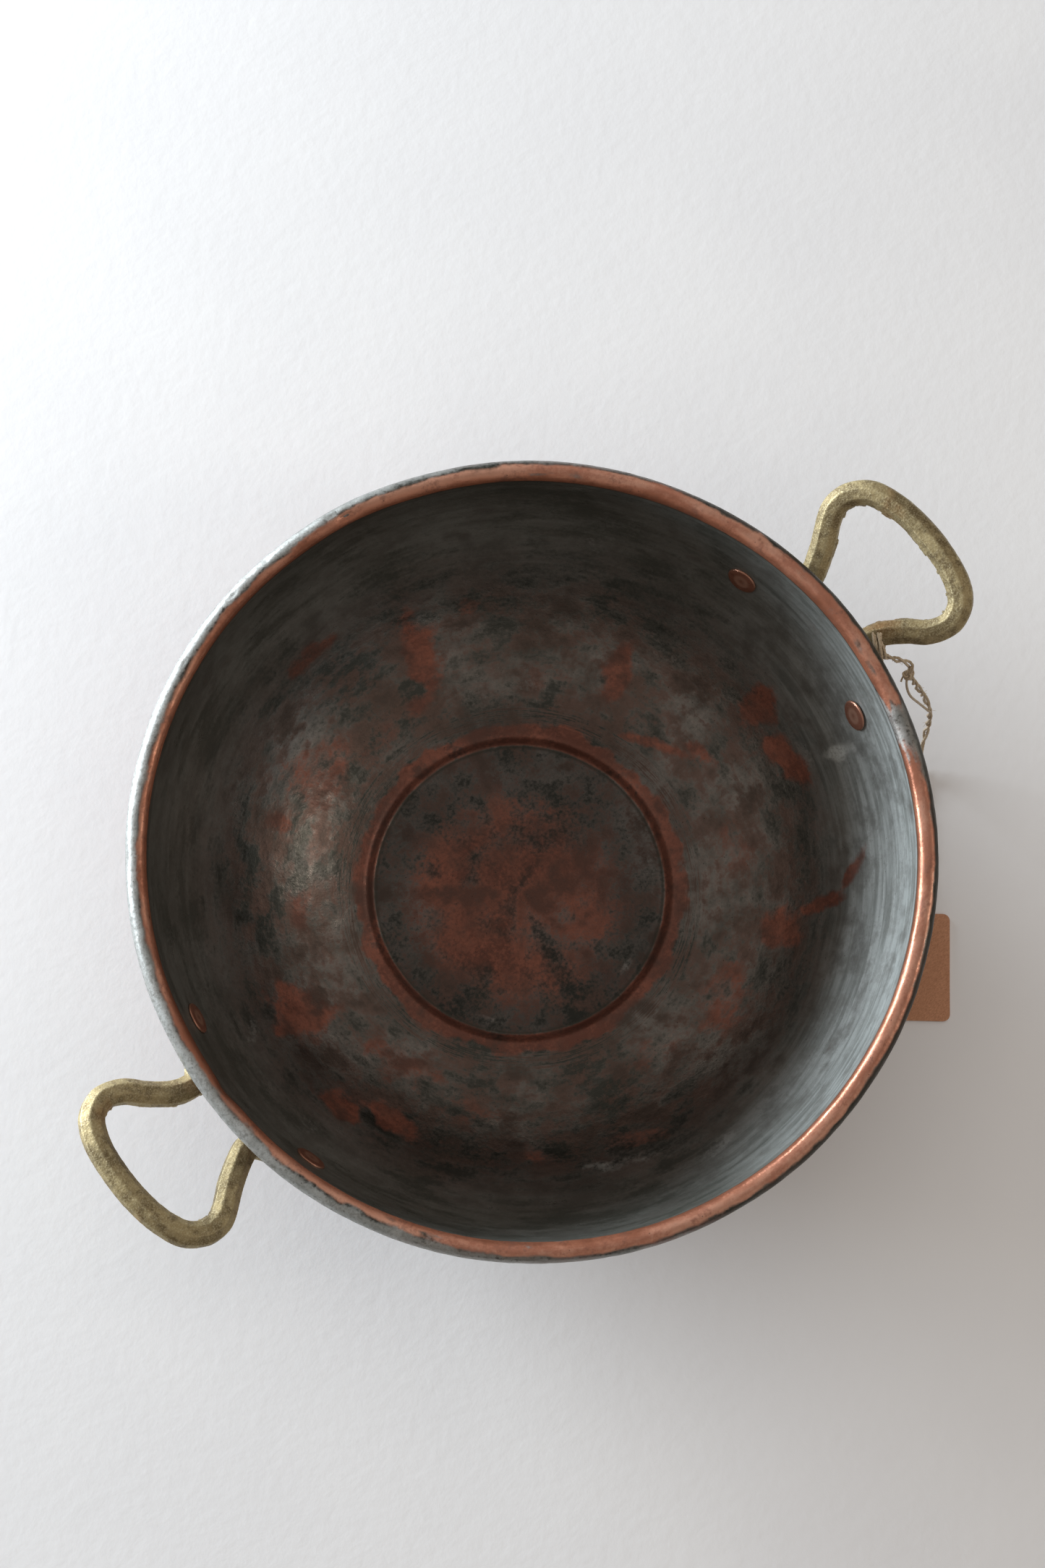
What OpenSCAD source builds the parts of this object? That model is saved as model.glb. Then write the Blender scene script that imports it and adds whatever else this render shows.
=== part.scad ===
// Tinned copper bowl with a wired rim and two cast brass handles, each held by two rivets.
// Millimetres, +Z up. The bowl stands on its foot disc at z = 0, centred on the Z axis,
// and the handles lie on the X axis. A blank paper tag hangs on twine from the right handle.

/* [Bowl] */
// Diameter over the rolled rim
rim_d = 320; // [314:1:328]
// Height from the foot to the top of the rim
bowl_h = 116; // [113:1:122]
// Thickness of the copper sheet
sheet = 1.5; // [1.2:0.1:1.8]
// Diameter of the rolled bead
bead_d = 8.4; // [8:0.1:9]
// Radius of the crease round the foot disc
foot_r = 61; // [58:1:64]
// Depth of the step down to the foot disc
foot_step = 4; // [3.6:0.1:4.6]
// Radius about which the wall's curve is centred
curve_r = 36; // [32:1:40]

/* [Handles] */
// Distance from the bowl's axis to the outside of a handle
handle_reach = 209.5; // [208:0.5:214]
// Width of the bar across its flats, in the plane of the loop
bar_w = 10; // [9:0.5:11]
// Thickness of the bar across the plane of the loop
bar_t = 9; // [8:0.5:10]
// Angle by which the loop rises towards its grip
handle_rise = 25.2; // [24:0.2:27]
// Thickness of the feet that lie on the wall
pad_t = 3.5; // [3:0.1:4]

/* [Rivets] */
// Angle from the handle's centre line to each rivet
rivet_angle = 14.2; // [13.5:0.1:15]
// Depth of the rivets below the middle of the bead
rivet_depth = 31; // [30:0.5:32]
// Diameter of the rivet shanks
shank_d = 4; // [3.5:0.5:5]
// Diameter of the flat heads inside the bowl
head_d = 13; // [11:0.5:14]
// Diameter of the peened heads outside
tail_d = 10; // [9:0.5:11]

/* [Tag] */
// Length of the paper tag
tag_l = 46; // [44:1:48]
// Width of the paper tag
tag_w = 30; // [26:1:32]
// Thickness of the paper tag
tag_t = 0.6; // [0.5:0.1:0.8]
// Diameter of the twine
twine_d = 1.5; // [1.2:0.1:1.8]

/* [Hidden] */
$fn = 96;
// Lengths of the bar run this far into each other.
overlap = 0.05;

// The bead is a ring of sheet rolled outward over an iron wire.
bead_r = bead_d / 2;
wire_r = bead_r - sheet;
bead_x = rim_d / 2 - bead_r;
rim_z = bowl_h - bead_r;
roll_gap = 32;

// The inside of the wall is a quarter ellipse that ends at a round shoulder.
wall_steps = 26;
arc_steps = 5;
wall_a = bead_x - bead_r - curve_r;
shoulder_x = foot_r + 5;
wall_end = acos((shoulder_x - curve_r) / wall_a);
wall_b = (rim_z - sheet - foot_step) / sin(wall_end);
shoulder_slope = atan2(wall_b * cos(wall_end), wall_a * sin(wall_end));

// The shoulder rounds over into a steep step, which fillets into the foot disc.
round_r = 3;
fillet_r = 2;
step_slope = 55;

// A point of the wall: t is the place along the ellipse, out the distance outside it.
function wall_point(t, out) =
    let (n = [wall_b * cos(t), -wall_a * sin(t)])
    [curve_r + wall_a * cos(t), rim_z - wall_b * sin(t)] + out * n / norm(n);

round_c = wall_point(wall_end, round_r);
function round_point(slope, out) = round_c + (round_r - out) * [-sin(slope), cos(slope)];

step_top = round_point(step_slope, 0);
step_foot_z = sheet + fillet_r * (1 - cos(step_slope));
step_foot_x = step_top.x - (step_top.y - step_foot_z) / tan(step_slope);
fillet_c = [step_foot_x - fillet_r * sin(step_slope), sheet + fillet_r];
function fillet_point(slope, out) = fillet_c + (fillet_r + out) * [sin(slope), -cos(slope)];

wall_ts = [for (i = [0 : wall_steps]) wall_end * i / wall_steps];
round_ts = [for (i = [1 : arc_steps]) shoulder_slope + (step_slope - shoulder_slope) * i / arc_steps];
fillet_ts = [for (i = [0 : arc_steps]) step_slope * (1 - i / arc_steps)];

// One face of the sheet, from the rim down to the axis.
function sheet_face(out) = concat(
    [for (t = wall_ts) wall_point(t, out)],
    [for (s = round_ts) round_point(s, out)],
    [for (s = fillet_ts) fillet_point(s, out)],
    [[0, sheet - out]]
);
function reversed(list) = [for (i = [len(list) - 1 : -1 : 0]) list[i]];

// The rivets stand square to the wall.
rivet_t = asin(rivet_depth / wall_b);
rivet_at = wall_point(rivet_t, 0);
rivet_tilt = atan2(wall_a * sin(rivet_t), wall_b * cos(rivet_t));
head_t = 1;
head_edge = 0.3;
head_lift = 0.2;
tail_t = 2.2;
dome_steps = 8;
pad_r = 8;
pad_run = 13;

// Half of a handle's centre line, in the plane of the loop, from the grip to one foot.
// x runs outward from the middle of the grip and y along it.
grip_x = handle_reach - bar_w / 2;
grip_z = rim_z + 1;
handle_path = [[0, 0], [0, 12.5], [-9.5, 41.5], [-51.5, 14.3], [-62, 28.3]];
handle_bends = [0, 75, 11, 10, 0];
bar_chamfer = 2.8;

// The twine is wound round the front arm of the right handle.
arm_from = handle_path[3];
arm_to = handle_path[2];
arm_dir = (arm_to - arm_from) / norm(arm_to - arm_from);
wind_start = 9;
wind_turns = 2;
wind_pitch = 2.4;
wind_steps = 9;
wind_w = bar_w / 2 + twine_d / 2 + 0.3;
wind_t = bar_t / 2 + twine_d / 2 + 0.3;

// Places from the last turn down to the tag, chosen so that the twine springs out
// from the handle, falls to the surface and runs under the wall to the tag.
twine_run = [
    [172, -34, 86], [171, -37, 79], [173, -41, 68], [176, -46, 54], [178, -51, 40],
    [178, -55, 26], [175, -59, 13], [170, -64, 4], [163, -71, 1.2], [154, -81, 0.9],
    [146, -92, 0.9], [138, -101, 0.9], [131, -108, 1.3], [126, -114, 1.8], [123, -117, 1.6],
    [121.4, -118.7, 1]
];

// The tag lies on the surface, partly under the overhang of the wall.
tag_at = [110, -132, 0];
tag_turn = 49.5;
tag_corner = 3;
tag_hole_r = 2.4;
tag_hole_in = 5.5;

copper = [0.52, 0.36, 0.31];
bare_copper = [0.70, 0.40, 0.30];
brass = [0.62, 0.55, 0.34];
iron = [0.30, 0.30, 0.32];
kraft = [0.62, 0.45, 0.32];
jute = [0.72, 0.60, 0.42];

// Puts children at a rivet: their z axis points out through the wall. side is 1 or -1.
module at_rivet(side) {
    rotate([0, 0, side * rivet_angle])
        translate([rivet_at.x, 0, rivet_at.y])
            rotate([0, 90 + rivet_tilt, 0])
                children();
}

// The solid of the wall between two distances outside its inner face.
module wall_layer(from, to) {
    rotate_extrude()
        polygon(concat([for (t = wall_ts) wall_point(t, from)],
                       reversed([for (t = wall_ts) wall_point(t, to)])));
}

// Everything inside the outer face of the wall.
module wall_envelope() {
    rotate_extrude()
        polygon(concat([for (t = wall_ts) wall_point(t, sheet)], [[0, 0], [0, rim_z]]));
}

module rolled_bead() {
    rotate_extrude()
        translate([bead_x, rim_z])
            difference() {
                circle(bead_r);
                circle(wire_r);
                polygon([[0, 0], [-2 * bead_r, 0], 2 * bead_r * [-cos(roll_gap), -sin(roll_gap)]]);
            }
}

module shank_hole(side) {
    at_rivet(side)
        translate([0, 0, -sheet])
            cylinder(d = shank_d, h = 4 * sheet + pad_t);
}

module bowl_shell() {
    color(copper)
        difference() {
            union() {
                rotate_extrude()
                    polygon(concat(sheet_face(0), reversed(sheet_face(sheet))));
                rolled_bead();
            }
            for (turn = [0, 180], side = [-1, 1])
                rotate([0, 0, turn])
                    shank_hole(side);
        }
}

module rim_wire() {
    color(iron)
        rotate_extrude()
            translate([bead_x, rim_z])
                circle(wire_r);
}

// The handle's bar is an oblong with broad chamfers.
module bar_section() {
    x = bar_w / 2;
    y = bar_t / 2;
    c = bar_chamfer;
    polygon([[x, y - c], [x - c, y], [c - x, y], [-x, y - c],
             [-x, c - y], [c - x, -y], [x - c, -y], [x, c - y]]);
}

module bar_straight(from, to) {
    run = to - from;
    translate([from.x, from.y, 0])
        rotate([90, 0, atan2(run.y, run.x) + 90])
            translate([0, 0, -overlap])
                linear_extrude(norm(run) + 2 * overlap)
                    bar_section();
}

module bar_bend(centre, radius, from, to) {
    start = atan2(from.y - centre.y, from.x - centre.x);
    stop = atan2(to.y - centre.y, to.x - centre.x);
    sweep = (stop - start + 540) % 360 - 180;
    translate([centre.x, centre.y, 0])
        rotate([0, 0, sweep > 0 ? start : stop])
            rotate_extrude(angle = abs(sweep))
                translate([radius, 0])
                    bar_section();
}

function unit(v) = v / norm(v);
function path_in(i) = unit(handle_path[i - 1] - handle_path[i]);
function path_out(i) = unit(handle_path[i + 1] - handle_path[i]);
function path_half(i) = acos(path_in(i) * path_out(i)) / 2;
function is_bend(i) = handle_bends[i] > 0;
function bend_start(i) = handle_path[i] + (is_bend(i) ? path_in(i) * handle_bends[i] / tan(path_half(i)) : [0, 0]);
function bend_stop(i) = handle_path[i] + (is_bend(i) ? path_out(i) * handle_bends[i] / tan(path_half(i)) : [0, 0]);
function bend_centre(i) = handle_path[i] + unit(path_in(i) + path_out(i)) * handle_bends[i] / sin(path_half(i));

// Puts children in the plane of the right handle's loop.
module in_loop() {
    translate([grip_x, 0, grip_z])
        rotate([0, -handle_rise, 0])
            children();
}

module half_bar() {
    for (i = [1 : len(handle_path) - 1])
        bar_straight(bend_stop(i - 1), bend_start(i));
    for (i = [1 : len(handle_path) - 2])
        bar_bend(bend_centre(i), handle_bends[i], bend_start(i), bend_stop(i));
}

// A foot follows the wall: a rounded oblong cut from a layer of even thickness.
module handle_pad(side) {
    intersection() {
        wall_layer(sheet, sheet + pad_t);
        at_rivet(side)
            union() {
                cylinder(r = pad_r, h = 4 * pad_t);
                translate([0, -side * pad_run, -pad_t])
                    cylinder(r = pad_r, h = 4 * pad_t);
                translate([-pad_r, side > 0 ? -pad_run : 0, -pad_t])
                    cube([2 * pad_r, pad_run, 4 * pad_t]);
            }
    }
}

module handle() {
    color(brass)
        difference() {
            union() {
                difference() {
                    in_loop() {
                        half_bar();
                        mirror([0, 1, 0])
                            half_bar();
                    }
                    wall_envelope();
                }
                handle_pad(1);
                handle_pad(-1);
            }
            shank_hole(1);
            shank_hole(-1);
        }
}

module handle_right() {
    handle();
}

module handle_left() {
    rotate([0, 0, 180])
        handle();
}

// A rivet has a flat head inside, a shank that fills its holes and a domed tail outside.
module rivet(side) {
    grip = sheet + pad_t;
    inner = -head_lift - head_t;
    color(bare_copper)
        at_rivet(side)
            rotate_extrude()
                polygon(concat(
                    [[0, inner], [head_d / 2 - head_edge, inner], [head_d / 2, inner + head_edge],
                     [head_d / 2, -head_lift], [shank_d / 2, -head_lift], [shank_d / 2, grip]],
                    [for (i = [0 : dome_steps])
                        [tail_d / 2 * cos(90 * i / dome_steps), grip + tail_t * sin(90 * i / dome_steps)]]
                ));
}

module rivet_right_back() {
    rivet(1);
}

module rivet_right_front() {
    rivet(-1);
}

module rivet_left_back() {
    rotate([0, 0, 180])
        rivet(-1);
}

module rivet_left_front() {
    rotate([0, 0, 180])
        rivet(1);
}

module paper_tag() {
    l = tag_l / 2 - tag_corner;
    w = tag_w / 2 - tag_corner;
    color(kraft)
        translate(tag_at)
            rotate([0, 0, tag_turn])
                difference() {
                    union() {
                        translate([-tag_l / 2, -w, 0])
                            cube([tag_l, 2 * w, tag_t]);
                        translate([-l, -tag_w / 2, 0])
                            cube([2 * l, tag_w, tag_t]);
                        for (x = [-l, l], y = [-w, w])
                            translate([x, y, 0])
                                cylinder(r = tag_corner, h = tag_t);
                    }
                    translate([tag_l / 2 - tag_hole_in, 0, -1])
                        cylinder(r = tag_hole_r, h = tag_t + 2);
                }
}

// A point in the plane of the right handle's loop, moved into the bowl's frame.
function loop_to_bowl(p) = [
    grip_x + p.x * cos(handle_rise) - p.z * sin(handle_rise),
    p.y,
    grip_z + p.x * sin(handle_rise) + p.z * cos(handle_rise)
];
function wound(i) =
    let (turn = 360 * i / wind_steps - 60,
         along = arm_from + arm_dir * (wind_start + wind_pitch * i / wind_steps),
         side = [arm_dir.y, -arm_dir.x] * wind_w * cos(turn))
    loop_to_bowl([along.x + side.x, -(along.y + side.y), wind_t * sin(turn)]);
twine_route = concat([for (i = [0 : wind_turns * wind_steps]) wound(i)], twine_run);

// A smooth curve through the route, with a ring of the tube every few millimetres.
twine_sides = 8;
twine_parts = 2;
function route(i) = twine_route[max(0, min(len(twine_route) - 1, i))];
function curve(a, b, c, d, t) =
    0.5 * (2 * b + (c - a) * t + (2 * a - 5 * b + 4 * c - d) * t * t + (3 * b - a - 3 * c + d) * t * t * t);
twine_line = [for (i = [0 : len(twine_route) - 2], k = [0 : twine_parts - 1])
    curve(route(i - 1), route(i), route(i + 1), route(i + 2), k / twine_parts)];
twine_all = concat(twine_line, [route(len(twine_route) - 1)]);
function heading(i) = unit(twine_all[min(i + 1, len(twine_all) - 1)] - twine_all[max(i - 1, 0)]);
function ring(i) =
    let (u = unit(cross(heading(i), [1, 0, 0])), v = cross(heading(i), u))
    [for (k = [0 : twine_sides - 1])
        twine_all[i] + twine_d / 2 * (u * cos(360 * k / twine_sides) + v * sin(360 * k / twine_sides))];

module tag_twine() {
    last = len(twine_all) - 1;
    sides = [for (i = [0 : last - 1], k = [0 : twine_sides - 1])
        let (a = i * twine_sides + k, b = i * twine_sides + (k + 1) % twine_sides)
        [a, b, b + twine_sides, a + twine_sides]];
    start = [[for (k = [twine_sides - 1 : -1 : 0]) k]];
    stop = [[for (k = [0 : twine_sides - 1]) last * twine_sides + k]];
    color(jute)
        polyhedron([for (i = [0 : last]) each ring(i)], concat(start, sides, stop), convexity = 10);
}

bowl_shell();
rim_wire();
handle_right();
handle_left();
rivet_right_back();
rivet_right_front();
rivet_left_back();
rivet_left_front();
paper_tag();
tag_twine();
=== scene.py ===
import itertools
import math

import bpy
import numpy as np
from mathutils import Matrix, Vector


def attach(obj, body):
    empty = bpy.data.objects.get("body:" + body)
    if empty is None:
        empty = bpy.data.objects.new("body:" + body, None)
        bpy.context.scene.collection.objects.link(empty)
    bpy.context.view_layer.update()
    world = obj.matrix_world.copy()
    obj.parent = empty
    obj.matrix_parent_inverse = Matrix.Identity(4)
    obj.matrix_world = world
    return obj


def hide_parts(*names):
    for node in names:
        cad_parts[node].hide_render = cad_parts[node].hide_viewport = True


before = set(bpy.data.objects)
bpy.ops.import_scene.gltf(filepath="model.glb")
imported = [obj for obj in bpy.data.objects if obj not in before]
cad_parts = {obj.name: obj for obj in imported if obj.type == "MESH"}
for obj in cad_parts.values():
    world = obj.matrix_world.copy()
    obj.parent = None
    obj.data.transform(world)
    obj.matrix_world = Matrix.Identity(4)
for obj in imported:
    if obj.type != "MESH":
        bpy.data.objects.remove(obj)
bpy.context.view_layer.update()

# Lengths here are millimetres, as in the part's own source. MM turns them into metres.
MM = 0.001
RIM_Z = 111.8
BEAD_X = 155.8
BEAD_R = 4.2
SHEET = 1.5
CREASE_R = 61.0
FOOT_STEP = 4.0
SHOULDER_X = CREASE_R + 5
CURVE_R = 36.0
WALL_A = BEAD_X - BEAD_R - CURVE_R
WALL_END = math.acos((SHOULDER_X - CURVE_R) / WALL_A)
WALL_B = (RIM_Z - (SHEET + FOOT_STEP)) / math.sin(WALL_END)
ROUND_R = 3
FILLET_R = 2
STEP_SLOPE = math.radians(55)
GRIP_X = 204.5
GRIP_Z = 112.8
HANDLE_RISE = math.radians(25.2)
BAR_W = 10
BAR_T = 9
PAD_T = 3.5
PAD_R = 8.2
PAD_TONGUE = 12.5
RIVET_ANGLE = math.radians(14.2)
RIVET_DEPTH = 31.0
SHANK_R = 2.0
PEENED_R = 5
TWINE_D = 1.5

# The picture's right and up, seen from over the bowl, and how far round the handles lie.
HANDLE_LINE = math.radians(39.4)
RIGHT = np.array([math.cos(HANDLE_LINE), -math.sin(HANDLE_LINE), 0])
UP = np.array([math.sin(HANDLE_LINE), math.cos(HANDLE_LINE), 0])
OUT = np.array([0.0, 0.0, 1.0])


# ---- numbers ----

def hash3(cell, seed):
    """A number from -1 to 1 for each whole-number cell (n, 3)."""
    x, y, z = (cell[:, k].astype(np.uint64) for k in range(3))
    h = x * np.uint64(73856093) ^ y * np.uint64(19349663) ^ z * np.uint64(83492791)
    h = (h + np.uint64(seed * 2654435761)) & np.uint64(0xFFFFFFFF)
    for shift in (16, 13):
        h = ((h ^ (h >> np.uint64(shift))) * np.uint64(0x45D9F3B)) & np.uint64(0xFFFFFFFF)
    return ((h ^ (h >> np.uint64(16))) & np.uint64(0xFFFF)).astype(float) / 32767.5 - 1


def noise(points, seed=0):
    """Smooth noise from -1 to 1, with features about one unit across."""
    base = np.floor(points)
    frac = points - base
    weight = frac * frac * (3 - 2 * frac)
    cell = (base + 4096).astype(np.int64)
    total = np.zeros(len(points))
    for corner in itertools.product((0, 1), repeat=3):
        share = np.prod(np.where(corner, weight, 1 - weight), axis=1)
        total += share * hash3(cell + np.array(corner), seed)
    return total


def layered(points, seed=0, layers=3):
    """Noise with finer, weaker layers added."""
    total, size = np.zeros(len(points)), 0.0
    for k in range(layers):
        total += noise(points * 2.0 ** k + 17.3 * k, seed + k) / 2 ** k
        size += 1 / 2 ** k
    return total / size


def smooth(low, high, value):
    """0 below low, 1 above high, and a smooth step between."""
    t = np.clip((value - low) / (high - low), 0, 1)
    return t * t * (3 - 2 * t)


def bump(value, centre, width):
    """A soft hump of height 1."""
    return np.exp(-((value - centre) / width) ** 2)


def turned(angle, centre):
    """The difference of two angles in degrees, from -180 to 180."""
    return (angle - centre + 180) % 360 - 180


def unit(v):
    return v / np.linalg.norm(v, axis=-1, keepdims=True)


def catmull(points, parts):
    """A smooth line through points, as in the part's own source."""
    p = np.asarray(points, float)
    line = []
    for i in range(len(p) - 1):
        a, b, c, d = (p[max(0, min(len(p) - 1, j))] for j in (i - 1, i, i + 1, i + 2))
        for k in range(parts):
            t = k / parts
            line.append(0.5 * (2 * b + (c - a) * t + (2 * a - 5 * b + 4 * c - d) * t * t
                               + (3 * b - a - 3 * c + d) * t ** 3))
    return np.array(line + [p[-1]])


def walked(line, step):
    """Points along a line, an even step apart."""
    gaps = np.linalg.norm(np.diff(line, axis=0), axis=1)
    run = np.concatenate([[0], np.cumsum(gaps)])
    at = np.linspace(0, run[-1], max(2, int(round(run[-1] / step)) + 1))
    return np.stack([np.interp(at, run, line[:, k]) for k in range(line.shape[1])], axis=1)


def line_frames(line):
    """Headings along a line, and two directions across it that turn as little as they can."""
    heading = unit(np.gradient(line, axis=0))
    across = [unit(np.cross(heading[0], [0.3, 0.2, 0.93]))]
    for h in heading[1:]:
        across.append(unit(across[-1] - h * (across[-1] @ h)))
    across = np.array(across)
    return heading, across, np.cross(heading, across)


# ---- meshes ----

def mesh_object(name, verts, faces, smooth_faces=True):
    """A mesh object from vertices in millimetres."""
    mesh = bpy.data.meshes.new(name)
    mesh.from_pydata((np.asarray(verts) * MM).tolist(), [], [list(map(int, f)) for f in faces])
    mesh.validate()
    mesh.polygons.foreach_set("use_smooth", [smooth_faces] * len(mesh.polygons))
    piece = bpy.data.objects.new(name, mesh)
    bpy.context.collection.objects.link(piece)
    return piece


def grid_faces(rows, columns, wrap_columns=True, start=0):
    """Quads over a grid of vertices, row by row."""
    i, j = np.meshgrid(np.arange(rows - 1), np.arange(columns - (not wrap_columns)),
                       indexing="ij")
    i, j = i.ravel(), j.ravel()
    i2, j2 = i + 1, (j + 1) % columns
    return start + np.stack([i * columns + j, i * columns + j2,
                             i2 * columns + j2, i2 * columns + j], axis=1)


def end_caps(rings, sides):
    """Fans that close a tube of rings onto its first and last centres, in that order."""
    first, last, end = rings * sides, rings * sides + 1, (rings - 1) * sides
    faces = []
    for j in range(sides):
        faces.append([first, (j + 1) % sides, j])
        faces.append([last, end + j, end + (j + 1) % sides])
    return faces


def tube(line, radius_of, sides):
    """Vertices and faces of a closed tube. radius_of(ring, angle) gives its radius."""
    _, u, v = line_frames(line)
    angle = 2 * math.pi * np.arange(sides) / sides
    cos, sin = np.cos(angle)[:, None], np.sin(angle)[:, None]
    rings = []
    for k, centre in enumerate(line):
        r = np.broadcast_to(radius_of(k, angle), angle.shape)[:, None]
        rings.append(centre + r * (cos * u[k] + sin * v[k]))
    verts = np.concatenate(rings + [line[:1], line[-1:]])
    return verts, grid_faces(len(line), sides).tolist() + end_caps(len(line), sides)


def joined(parts):
    """Several (vertices, faces) pairs as one."""
    verts, faces, start = [], [], 0
    for v, f in parts:
        verts.append(np.asarray(v))
        faces += [[start + n for n in face] for face in f]
        start += len(v)
    return np.concatenate(verts), faces


def point_attribute(piece, name, values):
    """A colour attribute with one value per vertex, from columns red, green and blue."""
    layer = piece.data.color_attributes.new(name, "FLOAT_COLOR", "POINT")
    colour = np.ones((len(values), 4))
    colour[:, :3] = values
    layer.data.foreach_set("color", colour.ravel())


def applied(piece):
    """Applies every modifier of a piece."""
    seen = bpy.context.evaluated_depsgraph_get()
    mesh = bpy.data.meshes.new_from_object(piece.evaluated_get(seen))
    piece.modifiers.clear()
    piece.data = mesh


def vertices(piece):
    """A piece's vertices, in millimetres."""
    co = np.empty(len(piece.data.vertices) * 3)
    piece.data.vertices.foreach_get("co", co)
    return co.reshape(-1, 3) / MM


def move_vertices(piece, verts):
    piece.data.vertices.foreach_set("co", (verts * MM).ravel())
    piece.data.update()


# ---- materials ----

class Shader:
    """A Principled material, and short calls that add nodes to it."""

    def __init__(self, name):
        self.material = bpy.data.materials.new(name)
        self.material.use_nodes = True
        self.tree = self.material.node_tree
        self.surface = self.tree.nodes["Principled BSDF"]

    def node(self, kind, inputs=(), **settings):
        made = self.tree.nodes.new("ShaderNode" + kind)
        for key, value in settings.items():
            setattr(made, key, value)
        for key, value in dict(inputs).items():
            self.feed(made.inputs[key], value)
        return made

    def feed(self, socket, value):
        if isinstance(value, bpy.types.NodeSocket):
            self.tree.links.new(value, socket)
        else:
            socket.default_value = value

    def set(self, **values):
        for key, value in values.items():
            self.feed(self.surface.inputs[key.replace("_", " ")], value)

    def maths(self, operation, a, b=0.5):
        made = self.node("Math", operation=operation)
        self.feed(made.inputs[0], a)
        self.feed(made.inputs[1], b)
        return made.outputs[0]

    def mix(self, share, a, b):
        made = self.node("Mix", data_type="RGBA")
        self.feed(made.inputs["Factor"], share)
        for socket, value in ((made.inputs[6], a), (made.inputs[7], b)):
            self.feed(socket, value if isinstance(value, bpy.types.NodeSocket) else (*value, 1))
        return made.outputs[2]

    def step(self, value, low, high, to_low=0.0, to_high=1.0):
        return self.node("MapRange", {"Value": value, "From Min": low, "From Max": high,
                                      "To Min": to_low, "To Max": to_high},
                         interpolation_type="SMOOTHSTEP").outputs[0]

    def place(self):
        return self.node("TexCoord").outputs["Object"]

    def painted(self, name):
        return self.node("Attribute", attribute_name=name).outputs["Color"]

    def painted_parts(self, name):
        return self.node("SeparateColor", {"Color": self.painted(name)}).outputs

    def scaled(self, vector, scale):
        return self.node("Mapping", {"Vector": vector, "Scale": scale}).outputs[0]

    def noise(self, vector, scale, detail=3.0, roughness=0.55):
        return self.node("TexNoise", {"Vector": vector, "Scale": scale, "Detail": detail,
                                      "Roughness": roughness}).outputs["Fac"]

    def cells(self, vector, scale):
        return self.node("TexVoronoi", {"Vector": vector, "Scale": scale}).outputs["Distance"]

    def relief(self, *layers):
        """Bumps from (height, depth in metres) pairs."""
        normal = None
        for height, depth in layers:
            made = self.node("Bump", {"Height": height, "Distance": depth, "Strength": 1.0})
            if normal is not None:
                self.feed(made.inputs["Normal"], normal)
            normal = made.outputs[0]
        self.feed(self.surface.inputs["Normal"], normal)


def finished(piece, material):
    """Gives a piece its material and its body."""
    piece.data.materials.clear()
    piece.data.materials.append(material)
    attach(piece, "root")


# ---- camera ----

# The camera, fitted to the outlines of the rim, the foot disc and the handles.
RIM_CENTRE = np.array([0, 0, RIM_Z])
CAMERA_AWAY = 1385.6
LENS = 80.72
SENSOR = 36
TILT = math.radians(8.23)
TILT_TO = math.radians(247.2)
TILT_WAY = math.cos(TILT_TO) * RIGHT + math.sin(TILT_TO) * UP
CAMERA_AT = RIM_CENTRE + CAMERA_AWAY * (math.cos(TILT) * OUT + math.sin(TILT) * TILT_WAY)
CAMERA_AIM = RIM_CENTRE - 4.58 * RIGHT + 28.25 * UP


def make_camera():
    data = bpy.data.cameras.new("camera")
    data.sensor_width = SENSOR
    data.lens = LENS
    data.clip_start = 0.05
    camera = bpy.data.objects.new("camera", data)
    bpy.context.collection.objects.link(camera)
    back = unit(CAMERA_AT - CAMERA_AIM)
    right = unit(np.cross(UP, back))
    top = np.cross(back, right)
    matrix = np.eye(4)
    matrix[:3, 0], matrix[:3, 1], matrix[:3, 2] = right, top, back
    matrix[:3, 3] = CAMERA_AT * MM
    camera.matrix_world = Matrix(matrix.tolist())
    bpy.context.scene.camera = camera


# ---- the twine ----

def loop_to_bowl(x, y, z):
    """A point in the plane of the right handle's loop, in the bowl's frame."""
    return np.array([GRIP_X + x * math.cos(HANDLE_RISE) - z * math.sin(HANDLE_RISE), y,
                     GRIP_Z + x * math.sin(HANDLE_RISE) + z * math.cos(HANDLE_RISE)])


# The arm of the loop that the twine is wound round, in the loop's plane.
ARM_FROM = np.array([-51.5, 14.3])
ARM_TO = np.array([-9.5, 41.5])
ARM_DIR = unit(ARM_TO - ARM_FROM)
ARM_SIDE = np.array([ARM_DIR[1], -ARM_DIR[0]])
WIND_W = BAR_W / 2 + TWINE_D / 2 + 0.3
WIND_T = BAR_T / 2 + TWINE_D / 2 + 0.3
WIND_STEPS = 9


def wound(i):
    """A point of the winding, which takes WIND_STEPS points for each turn."""
    turn = 2 * math.pi * i / WIND_STEPS - math.radians(60)
    along = ARM_FROM + ARM_DIR * (9 + 2.4 * i / WIND_STEPS)
    side = ARM_SIDE * WIND_W * math.cos(turn)
    return loop_to_bowl(along[0] + side[0], -(along[1] + side[1]), WIND_T * math.sin(turn))


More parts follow.
